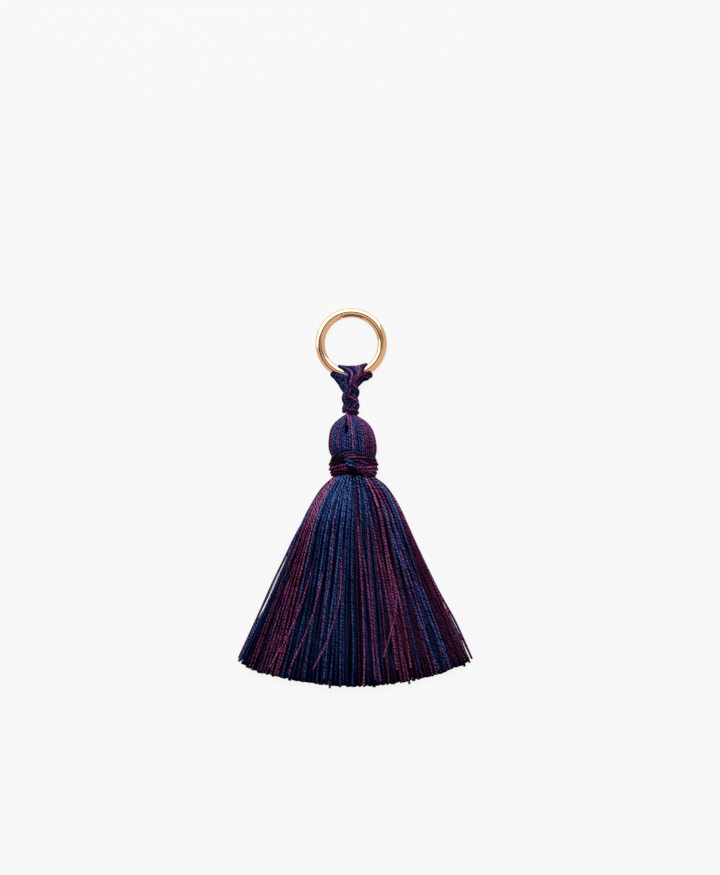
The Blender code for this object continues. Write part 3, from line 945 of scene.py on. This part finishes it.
def make_core(material):
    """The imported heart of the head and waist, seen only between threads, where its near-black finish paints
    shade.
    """
    columns = 48
    inset = 1.15
    sections = [row for row in HEAD_SECTIONS if row[0] > 12.5]
    sections += [(12.0, -0.25, 7.2, 7.15, 5.6, 0.5), (8.0, -0.25, 7.2, 7.0, 5.4, 0.0)]
    sections += [(6.5, -0.2, 7.4, 6.6, 4.8, 0.0), (3.0, -0.2, 8.0, 6.0, 3.6, 0.0)]
    places = []
    for y, centre_x, half_width, centre_z, half_depth, lift in sections:
        for column in range(columns):
            turn = FULL_TURN * column / columns
            x = centre_x + max(half_width - inset, 0.3) * math.cos(turn)
            z = centre_z + max(half_depth - inset, 0.3) * math.sin(turn)
            places.append([x, y + front_arch(turn, HEAD_ARCH) * lift, max(z, inset)])
    faces = grid_faces(len(sections), columns, closed_columns=True)
    faces.append(list(range(columns))[::-1])
    faces.append(list(range((len(sections) - 1) * columns, len(sections) * columns)))
    return add_mesh("packed_heart", places, faces, material)


# Skirt: reach from the fan's point, edge angles, thickness and how square its ends are.
SKIRT_STATIONS = (
    (25.6, 23.4, 23.4, 11.6, 0.03),
    (29.0, 25.6, 25.6, 10.7, 0.06),
    (35.0, 26.9, 26.9, 9.6, 0.18),
    (42.0, 27.1, 26.7, 8.6, 0.30),
    (64.0, 26.1, 26.1, 6.2, 0.60),
    (80.0, 25.9, 26.2, 5.2, 0.75),
    (93.9, 26.1, 26.3, 4.4, 0.85),
)
# Under the binding: y, half width and the share of the root's half depth.
ROOT_ROWS = ((10.8, 5.8, 0.8), (8.6, 6.4, 0.88), (6.6, 7.7, 0.98))
# Skirt layers from the underside up: threads, level, how much the level varies and how bright; the inner
# layers are painted near black as shade.
SKIRT_LAYERS = (
    (61, 0.0, 0.02, 1.0),
    (74, 0.22, 0.02, 0.03),
    (74, 0.5, 0.06, 0.02),
    (74, 0.74, 0.02, 0.03),
    (61, 1.0, 0.02, 1.0),
)
# Two threads in three start deeper in the waist: how deep, and between which reaches they come up.
BURIED = ((0.0, 26.0, 27.0), (0.32, 29.0, 38.0), (0.5, 60.0, 90.0))
WAIST_REACH = 18.0
# Dye across the fan: from this place on, the share of plum threads and how bright they are.
SKIRT_BANDS = (
    (-2.0, 0.75, 0.8),
    (-0.96, 0.3, 1.0),
    (-0.91, 0.85, 0.9),
    (-0.84, 0.75, 0.85),
    (-0.78, 0.95, 0.95),
    (-0.66, 0.7, 0.85),
    (-0.58, 0.2, 0.85),
    (-0.53, 0.02, 0.9),
    (-0.455, 0.95, 0.9),
    (-0.44, 0.02, 0.9),
    (-0.415, 0.85, 0.9),
    (-0.385, 0.05, 1.1),
    (-0.305, 0.95, 1.0),
    (-0.29, 0.05, 1.1),
    (-0.23, 0.4, 0.6),
    (-0.15, 0.1, 1.1),
    (-0.05, 0.0, 0.9),
    (0.03, 0.8, 0.5),
    (0.06, 0.2, 0.8),
    (0.12, 0.1, 0.8),
    (0.20, 0.85, 0.6),
    (0.27, 0.05, 0.9),
    (0.34, 0.8, 0.9),
    (0.40, 0.35, 0.6),
    (0.45, 0.75, 0.9),
    (0.53, 0.97, 0.9),
    (0.60, 0.4, 0.9),
    (0.66, 0.4, 0.9),
    (0.70, 0.15, 1.0),
    (0.79, 0.5, 0.8),
    (0.84, 0.4, 0.8),
    (0.89, 0.45, 0.7),
    (0.93, 0.9, 0.75),
    (0.97, 0.7, 0.9),
)
# Threads that lie loose on top: dye, brightness, then their places across the fan and reaches.
LOOSE_THREADS = (
    (
        0.95,
        1.2,
        ((-0.21, 40.0), (-0.195, 50.0), (-0.175, 61.0), (-0.21, 68.9), (-0.28, 79.4), (-0.365, 89.4)),
    ),
    (0.9, 1.15, ((0.50, 48.0), (0.515, 56.0), (0.505, 63.5), (0.44, 70.6), (0.35, 77.0), (0.26, 84.5))),
    (0.95, 1.25, ((0.03, 27.0), (0.075, 39.5), (0.09, 52.0), (0.095, 64.4), (0.085, 81.6), (0.07, 94.3))),
    (0.95, 1.15, ((0.50, 27.0), (0.55, 33.5), (0.52, 51.4), (0.53, 64.1), (0.51, 76.6), (0.48, 89.8))),
    (0.5, 1.1, ((-0.45, 27.0), (-0.43, 36.0), (-0.36, 45.0), (-0.33, 56.0), (-0.34, 66.0), (-0.33, 78.0))),
    (0.9, 0.9, ((0.27, 27.0), (0.25, 40.0), (0.22, 52.0), (0.21, 64.0), (0.2, 78.0), (0.21, 93.0))),
    (0.95, 1.1, ((-0.60, 50.0), (-0.60, 60.0), (-0.62, 70.0), (-0.66, 80.0), (-0.70, 87.0), (-0.72, 92.5))),
    (0.92, 1.1, ((-0.43, 46.0), (-0.44, 58.0), (-0.46, 70.0), (-0.51, 80.0), (-0.545, 87.0), (-0.555, 92.5))),
    (0.9, 1.1, ((0.33, 27.0), (0.34, 35.0), (0.37, 45.0), (0.385, 58.0), (0.38, 72.0), (0.36, 90.0))),
    (0.05, 1.3, ((-0.30, 27.0), (-0.27, 36.0), (-0.25, 48.0), (-0.255, 60.0), (-0.27, 74.0), (-0.26, 92.0))),
    (0.05, 1.3, ((0.62, 30.0), (0.66, 40.0), (0.675, 52.0), (0.67, 64.0), (0.68, 78.0), (0.70, 93.0))),
    (0.05, 1.2, ((0.74, 34.0), (0.76, 44.0), (0.765, 56.0), (0.78, 68.0), (0.785, 80.0), (0.79, 93.8))),
    (0.93, 1.0, ((0.12, 40.0), (0.15, 50.0), (0.17, 60.0), (0.175, 70.0), (0.17, 80.0), (0.165, 92.0))),
    (0.9, 0.7, ((0.40, 40.0), (0.42, 50.0), (0.43, 62.0), (0.435, 74.0), (0.44, 85.0), (0.44, 95.2))),
    (0.1, 0.6, ((-0.22, 40.0), (-0.21, 50.0), (-0.205, 62.0), (-0.21, 74.0), (-0.21, 85.0), (-0.205, 95.1))),
)
LOOSE_LEVELS = (0.6, 1.0, 1.07, 1.07, 1.07, 1.03)
# Threads at the two edges that stand a little off the rest, in the same way.
EDGE_THREADS = (
    (
        0.75,
        0.7,
        ((-0.95, 36.0), (-0.985, 46.0), (-0.995, 54.0), (-1.008, 65.0), (-1.0, 77.0), (-0.985, 93.5)),
    ),
    (0.1, 1.0, ((-0.95, 70.0), (-0.97, 76.0), (-0.985, 82.0), (-0.98, 88.0), (-0.975, 93.8), (-0.973, 94.6))),
    (0.9, 0.7, ((0.94, 34.0), (0.965, 42.0), (0.975, 56.0), (0.985, 68.0), (1.0, 80.0), (0.985, 94.0))),
    (0.1, 0.8, ((0.94, 58.0), (0.955, 66.0), (0.965, 74.0), (0.975, 82.0), (0.965, 88.0), (0.955, 94.9))),
    (0.9, 0.8, ((0.90, 62.0), (0.915, 70.0), (0.925, 76.0), (0.935, 82.0), (0.925, 88.0), (0.905, 95.4))),
)
EDGE_LEVELS = (0.5, 0.5, 0.5, 0.5, 0.5, 0.5)
# How far the fan's body and its inner layers reach toward the edge threads.
BODY_SHARE = 0.975
INNER_SPREAD = 0.97
# How far a thread strays from its even place, in thread widths, and across the fan from its band.
THREAD_STRAY = 0.22
BAND_STRAY = 0.012
# Dyes that a thread can have, the share of the mixed one, and how bright the threads turn out.
THREAD_DYES = (0.0, 0.5, 0.92)
MIXED_SHARE = 0.08
TONES = (0.3, 0.52, 0.85, 1.25, 1.7)
# Painted light and shade along the skirt, from its hem up to the binding: painted shade at the hem, painted
# light toward the root.
SKIRT_SHADE_Y = (-66.5, -62.0, -45.0, -12.0, 2.0, 7.0)
SKIRT_SHADE = (0.2, 0.5, 0.72, 1.1, 3.1, 2.6)
# How much painted shade darkens a thread where it is sunk between the others.
SUNK_SHADE = 1.3
# Painted light on the flanks of the fan: from these places on, toward the hem, they are made this much
# brighter at these y.
FLANK_PLACES = (0.6, 0.7)
FLANK_LIGHT_Y = (-50.0, -30.0, -10.0)
FLANK_LIGHT = (0.5, 0.3, 0.0)
# The cut hem: places across the fan and how much longer or shorter its threads are there.
HEM_PLACES = (-1.0, -0.96, -0.85, -0.72, -0.52, -0.33, 0.0, 0.5, 0.69, 0.8, 0.93, 1.0)
HEM_LENGTHS = (0.2, 0.9, 1.1, 0.9, 0.3, 0.1, 0.0, 0.1, 0.5, 0.3, 0.4, -0.4)
# How unevenly the hem is cut, and the reach past which a row is moved by it.
HEM_RAGGED = 0.28
HEM_REACH = 90.0
# Each thread sways across by this much, over this length, and neighbours sway alike.
SWAY_RANGE = (0.1, 0.55)
SWAY_LENGTH = 11.0
SWAY_LIKENESS = 9
# The reach at which a thread is free to sway, and how much farther it takes to sway fully.
SWAY_START = 28.0
SWAY_GROWTH = 60.0


def fan_point(place, height, reach, level, shift=0.0):
    """A point of the skirt: across from -1 to 1, reach from the fan's point, level from its underside up."""
    columns = np.array(SKIRT_STATIONS).T
    left, right, thickness, squareness = (np.interp(reach, columns[0], column) for column in columns[1:])
    depth = (thickness - 2 * THREAD_RADIUS) * height
    middle = thickness / 2
    low = max(middle - depth / 2 - (middle - THREAD_RADIUS) * squareness**0.5, THREAD_RADIUS)
    z = low + depth * level + SKIRT_CROWN * squareness * max(1 - place * place, 0.0)
    angle = math.radians(-left + (left + right) * (place + 1) / 2)
    across = reach * math.sin(angle) + shift * math.cos(angle)
    along = FAN_Y - reach * math.cos(angle) + shift * math.sin(angle)
    return [across, along, z]


def skirt_path(share, level, depth, clear_reach, rng):
    """Rows of one skirt thread from inside the binding to its cut end, and how sunk it is at each."""
    round_place = -math.cos(math.pi * share)
    even_place = 2 * share - 1
    rise = math.sin(math.pi * share)
    rows = []
    for y, half_width, shrink in ROOT_ROWS:
        x = ROOT_X + (half_width - THREAD_RADIUS) * round_place * (1 - 0.6 * depth)
        z = ROOT_Z + (ROOT_HALF_DEPTH * shrink - THREAD_RADIUS) * rise * (2 * level - 1) * (1 - depth)
        rows.append([x, y, z, depth])
    ragged = rng.normal(0.0, HEM_RAGGED) + np.interp(even_place, HEM_PLACES, HEM_LENGTHS)
    sway_phase = SWAY_LIKENESS * even_place + rng.uniform(-0.8, 0.8)
    sway = rng.uniform(*SWAY_RANGE)
    for reach, _, _, _, squareness in SKIRT_STATIONS:
        sunk = depth * min(max((clear_reach - reach) / (clear_reach - WAIST_REACH), 0.0), 1.0)
        place = (round_place + (even_place - round_place) * squareness) * BODY_SHARE * (1 - 0.3 * sunk)
        height = rise * (1 - squareness) + squareness
        length = reach + (ragged if reach > HEM_REACH else 0.0)
        freedom = max(reach - SWAY_START, 0.0) / SWAY_GROWTH
        shift = sway * math.sin(reach / SWAY_LENGTH + sway_phase) * freedom
        now = 0.5 + (level - 0.5) * (1 - sunk)
        rows.append([*fan_point(place, height, length, now, shift), sunk])
    return rows


def loose_path(places, levels):
    """Rows of a thread that comes up through the skirt and lies on it, by its places and reaches."""
    rows = []
    for (place, reach), level in zip(places, levels):
        squareness = np.interp(reach, [row[0] for row in SKIRT_STATIONS], [row[4] for row in SKIRT_STATIONS])
        rise = math.sqrt(max(1 - place * place, 0.0))
        rows.append(fan_point(place, rise * (1 - squareness) + squareness, reach, level))
    return rows


def rested(path):
    """The path kept a thread's radius above the floor."""
    path[:, 2] = np.maximum(path[:, 2], THREAD_RADIUS)
    return path


def piece_at(pieces, share):
    """The skirt's piece that holds this share of the way across."""
    return pieces[min(int(share * len(pieces)), len(pieces) - 1)]


def skirt_facing(share, on_top):
    """The way an outer thread looks out of the skirt: up or down, and sideways near its edges."""
    across = -(math.cos(math.pi * share) ** 5)
    level = (1 - 0.5 * abs(across)) * (1 if on_top else -1)
    return unit(np.array([across, 0.0, level]))


def make_skirt(material, rng):
    """Layers of threads: the outer ones show, the inner ones are painted near black as the shade between
    them.
    """
    pieces = [Skein() for _ in range(SKIRT_PIECES)]
    for count, layer_level, spread, layer_shade in SKIRT_LAYERS:
        outer = layer_shade == 1.0
        for index in range(count):
            jitter = rng.uniform(-THREAD_STRAY, THREAD_STRAY) if outer else 0.0
            share = (index + 0.5 + jitter) / count
            level = min(max(layer_level + rng.uniform(-spread, spread), 0.0), 1.0)
            depth, first_clear, last_clear = BURIED[index % 3] if outer else BURIED[0]
            if not outer:
                share = 0.5 + (share - 0.5) * INNER_SPREAD
            rows = skirt_path(share, level, depth, rng.uniform(first_clear, last_clear), rng)
            path = evenly(rested(through(rows)), LONG_STEP if outer else HIDDEN_STEP)
            stray = rng.uniform(-BAND_STRAY, BAND_STRAY)
            plum, bright = band_at(SKIRT_BANDS, 2 * share - 1 + stray)
            plain = 1 - MIXED_SHARE
            dye = rng.choice(THREAD_DYES, p=[plain - plain * plum, MIXED_SHARE, plain * plum])
            dye += rng.uniform(0.0, 0.1)
            tone_and_shade = bright * layer_shade * rng.choice(TONES) * rng.uniform(0.9, 1.1)
            # Painted light and shade along each thread: shade at the hem and where it is sunk, light at the
            # root and on the flanks.
            flank_light_share = np.interp(abs(2 * share - 1), FLANK_PLACES, (0.0, 1.0))
            shade = np.interp(path[:, 1], SKIRT_SHADE_Y, SKIRT_SHADE) * (1 - SUNK_SHADE * path[:, 3])
            shade = tone_and_shade * shade * (1 + flank_light_share * np.interp(path[:, 1], FLANK_LIGHT_Y, FLANK_LIGHT))
            skein = piece_at(pieces, share)
            phase = rng.random()
            if outer:
                facing = skirt_facing(share, layer_level > 0)
                skein.lay(path[:, :3], OUTER_RADIUS, dye, shade, SHOWN_SIDES, phase=phase, outward=facing)
            else:
                skein.lay(path[:, :3], INNER_RADIUS, dye, shade, phase=phase)
    for threads, levels in ((LOOSE_THREADS, LOOSE_LEVELS), (EDGE_THREADS, EDGE_LEVELS)):
        for dye, bright, places in threads:
            path = evenly(rested(through(loose_path(places, levels))), LONG_STEP)
            skein = piece_at(pieces, (places[len(places) // 2][0] + 1) / 2)
            skein.lay(path, OUTER_RADIUS, dye, bright, SHOWN_SIDES, phase=rng.random(), outward=UPWARD)
    return [skein.weave(f"skirt_threads_{number + 1}", material) for number, skein in enumerate(pieces)]


# Stage


def make_floor():
    """A wide pale floor a hair under the tassel; it glows evenly and doesn't show in the metal."""
    half = 2500.0
    corners = [(-half, -half), (half, -half), (half, half), (-half, half)]
    places = [(x, y, -FLOOR_GAP) for x, y in corners]
    finish = glowing_finish("pale_floor", PALE_FLOOR, PLAIN_WHITE, FLOOR_GLOW)
    floor = add_mesh("floor", places, [(0, 1, 2, 3)], finish, smooth=False)
    floor.visible_glossy = False


def add_softbox(name, place, size, glow):
    """An area light of this width and height, facing the tassel; its face is as bright as its glow."""
    light = bpy.data.lights.new(name, "AREA")
    light.shape = "RECTANGLE"
    light.size, light.size_y = size
    light.energy = glow * math.pi * size[0] * size[1]
    made = add_object(name, light)
    # Polished metal mirrors the curved cards instead.
    made.visible_glossy = False
    made.location = place
    away = made.location.copy()
    away.y -= 0.01
    made.rotation_euler = away.to_track_quat("Z", "Y").to_euler()


def add_band(name, turns, heights, glow, colour=PLAIN_WHITE):
    """A curved card that only shows in polished metal, between these turns and heights in degrees."""
    columns = 33
    rows = 9
    turn = np.radians(np.linspace(*turns, columns))[None, :]
    height = np.radians(np.linspace(*heights, rows))[:, None]
    x = np.cos(height) * np.cos(turn)
    y = np.cos(height) * np.sin(turn)
    z = np.sin(height) + 0 * turn
    places = np.stack([x, y, z], axis=-1).reshape(-1, 3) * BAND_REACH
    finish = glowing_finish(name, FLAG_BLACK, colour, glow)
    band = add_mesh(name, places, grid_faces(rows, columns), finish, smooth=False)
    for ray in ("camera", "diffuse", "shadow", "transmission"):
        setattr(band, "visible_" + ray, False)


def light_studio():
    """A white tent that shows to the camera and in metal, dimmer as a light, with softboxes and cards."""
    world = bpy.data.worlds.new("studio")
    bpy.context.scene.world = world
    tent = Finish(world, "Background")
    rays = tent.node("ShaderNodeLightPath", {}, {})
    seen = Tint(tent, rays.outputs["Is Camera Ray"]) + Tint(tent, rays.outputs["Is Glossy Ray"])
    glow = seen * (TENT_GLOW - ROOM_GLOW) + ROOM_GLOW
    tent.fill(tent.shader, {"Color": PLAIN_WHITE, "Strength": glow})
    add_softbox("north_softbox", (0.3, 0.65, 0.8), (1.0, 0.5), 0.9)
    add_softbox("key_softbox", (-0.12, 0.42, 0.9), (0.3, 0.3), 22.0)
    add_band("north_band", (42, 150), (-18, 49), WHITE_GLOW, COOL_WHITE)
    add_band("west_band", (150, 176), (-10, 32), WHITE_GLOW, COOL_WHITE)
    add_band("upper_flag", (30, 165), (53, 74), 0.16)
    add_band("side_flag", (165, 290), (38, 60), 0.02)
    add_band("south_flag", (240, 292), (-5, 41), 0.25)
    bpy.context.scene.view_settings.view_transform = "Standard"


def add_camera():
    """A camera straight above, far enough away that little is seen from the side."""
    camera = bpy.data.cameras.new("camera")
    camera.sensor_width = SENSOR
    camera.lens = SENSOR * CAMERA_DISTANCE / VIEW_HEIGHT
    made = add_object("camera", camera)
    made.location = (AIM_X * MM, AIM_Y * MM, CAMERA_DISTANCE * MM)
    bpy.context.scene.camera = made


def settle(piece, node):
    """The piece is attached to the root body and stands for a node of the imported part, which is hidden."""
    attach(piece, "root")
    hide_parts(node)


def main():
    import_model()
    add_camera()
    light_studio()
    make_floor()
    settle(make_ring(gold_finish()), "ring")
    hanger_yarn = yarn_finish("hanger_yarn_twist", 0.5, 0.12)
    settle(make_hanger(hanger_yarn, np.random.default_rng(11)), "hanger")
    binding_yarn = yarn_finish("binding_yarn_twist", 0.6, 0.12)
    settle(make_binding(binding_yarn, np.random.default_rng(12)), "binding")
    head_yarn = yarn_finish("head_yarn_twist", 0.8, 0.12)
    settle(make_head(head_yarn, np.random.default_rng(13)), "tassel")
    settle(make_core(core_finish()), "tassel")
    skirt_yarn = yarn_finish("skirt_yarn_twist", 1.05, 0.12)
    for piece in make_skirt(skirt_yarn, np.random.default_rng(14)):
        settle(piece, "tassel")


main()
